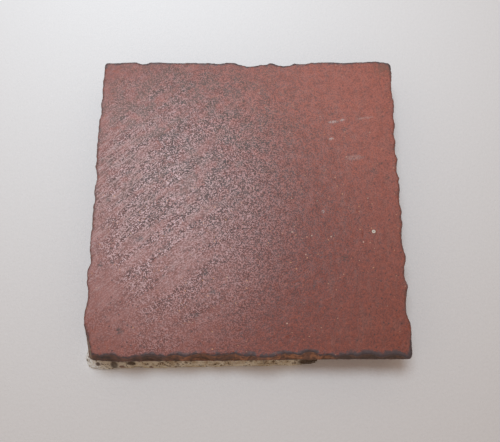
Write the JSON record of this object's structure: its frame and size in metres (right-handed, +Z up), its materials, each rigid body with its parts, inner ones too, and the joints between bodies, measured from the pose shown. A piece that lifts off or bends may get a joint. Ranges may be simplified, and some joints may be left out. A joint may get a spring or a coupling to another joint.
{
  "type": "square clay floor tile",
  "caption": "Square unglazed red clay floor tile with worn, chipped edges and the remnant of its pale mortar bed on the back.",
  "frame": {"origin": "on the floor, under the middle of the tile's nominal square", "axes": "+Z up out of the wearing face, +X along the near side, +Y to the far side"},
  "size_m": [0.1535, 0.1563, 0.02],
  "materials": {
    "red_clay": "worn matt with a slight sheen",
    "mortar": "rough lime mortar"
  },
  "bodies": {
    "root": {"tile": "red_clay", "mortar_bed": "mortar"}
  },
  "joints": []
}
